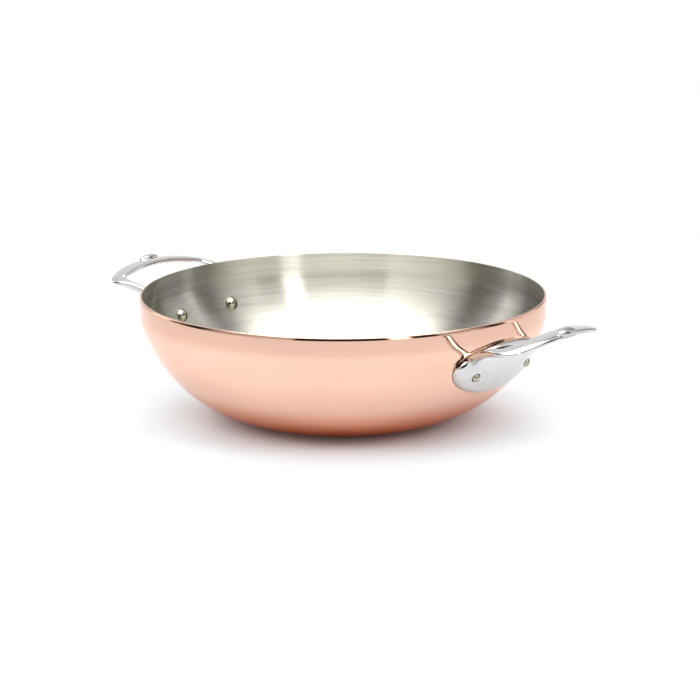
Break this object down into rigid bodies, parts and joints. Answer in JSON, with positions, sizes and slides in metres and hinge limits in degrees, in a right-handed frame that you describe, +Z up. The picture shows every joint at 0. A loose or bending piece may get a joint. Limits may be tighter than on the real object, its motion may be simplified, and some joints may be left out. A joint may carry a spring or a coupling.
{
  "type": "copper wok",
  "caption": "Flat-based round-bellied wok of polished copper with a brushed stainless lining and riveted cast loop handles on opposite sides, for cooking and carrying food.",
  "frame": {"origin": "on the table, under the middle of the flat base", "axes": "+X towards the right handle, +Y towards the back, +Z up through the open mouth"},
  "size_m": [0.445, 0.324, 0.1032],
  "materials": {
    "copper": "polished copper",
    "brushed_lining": "brushed around the axis",
    "cast_handle": "polished cast stainless steel",
    "rivet": "polished stainless steel"
  },
  "bodies": {
    "root": {"copper_body": "copper", "steel_lining": "brushed_lining", "handle_right": "cast_handle", "handle_left": "cast_handle", "rivet_right_front": "rivet", "rivet_right_back": "rivet", "rivet_left_front": "rivet", "rivet_left_back": "rivet"}
  },
  "joints": []
}
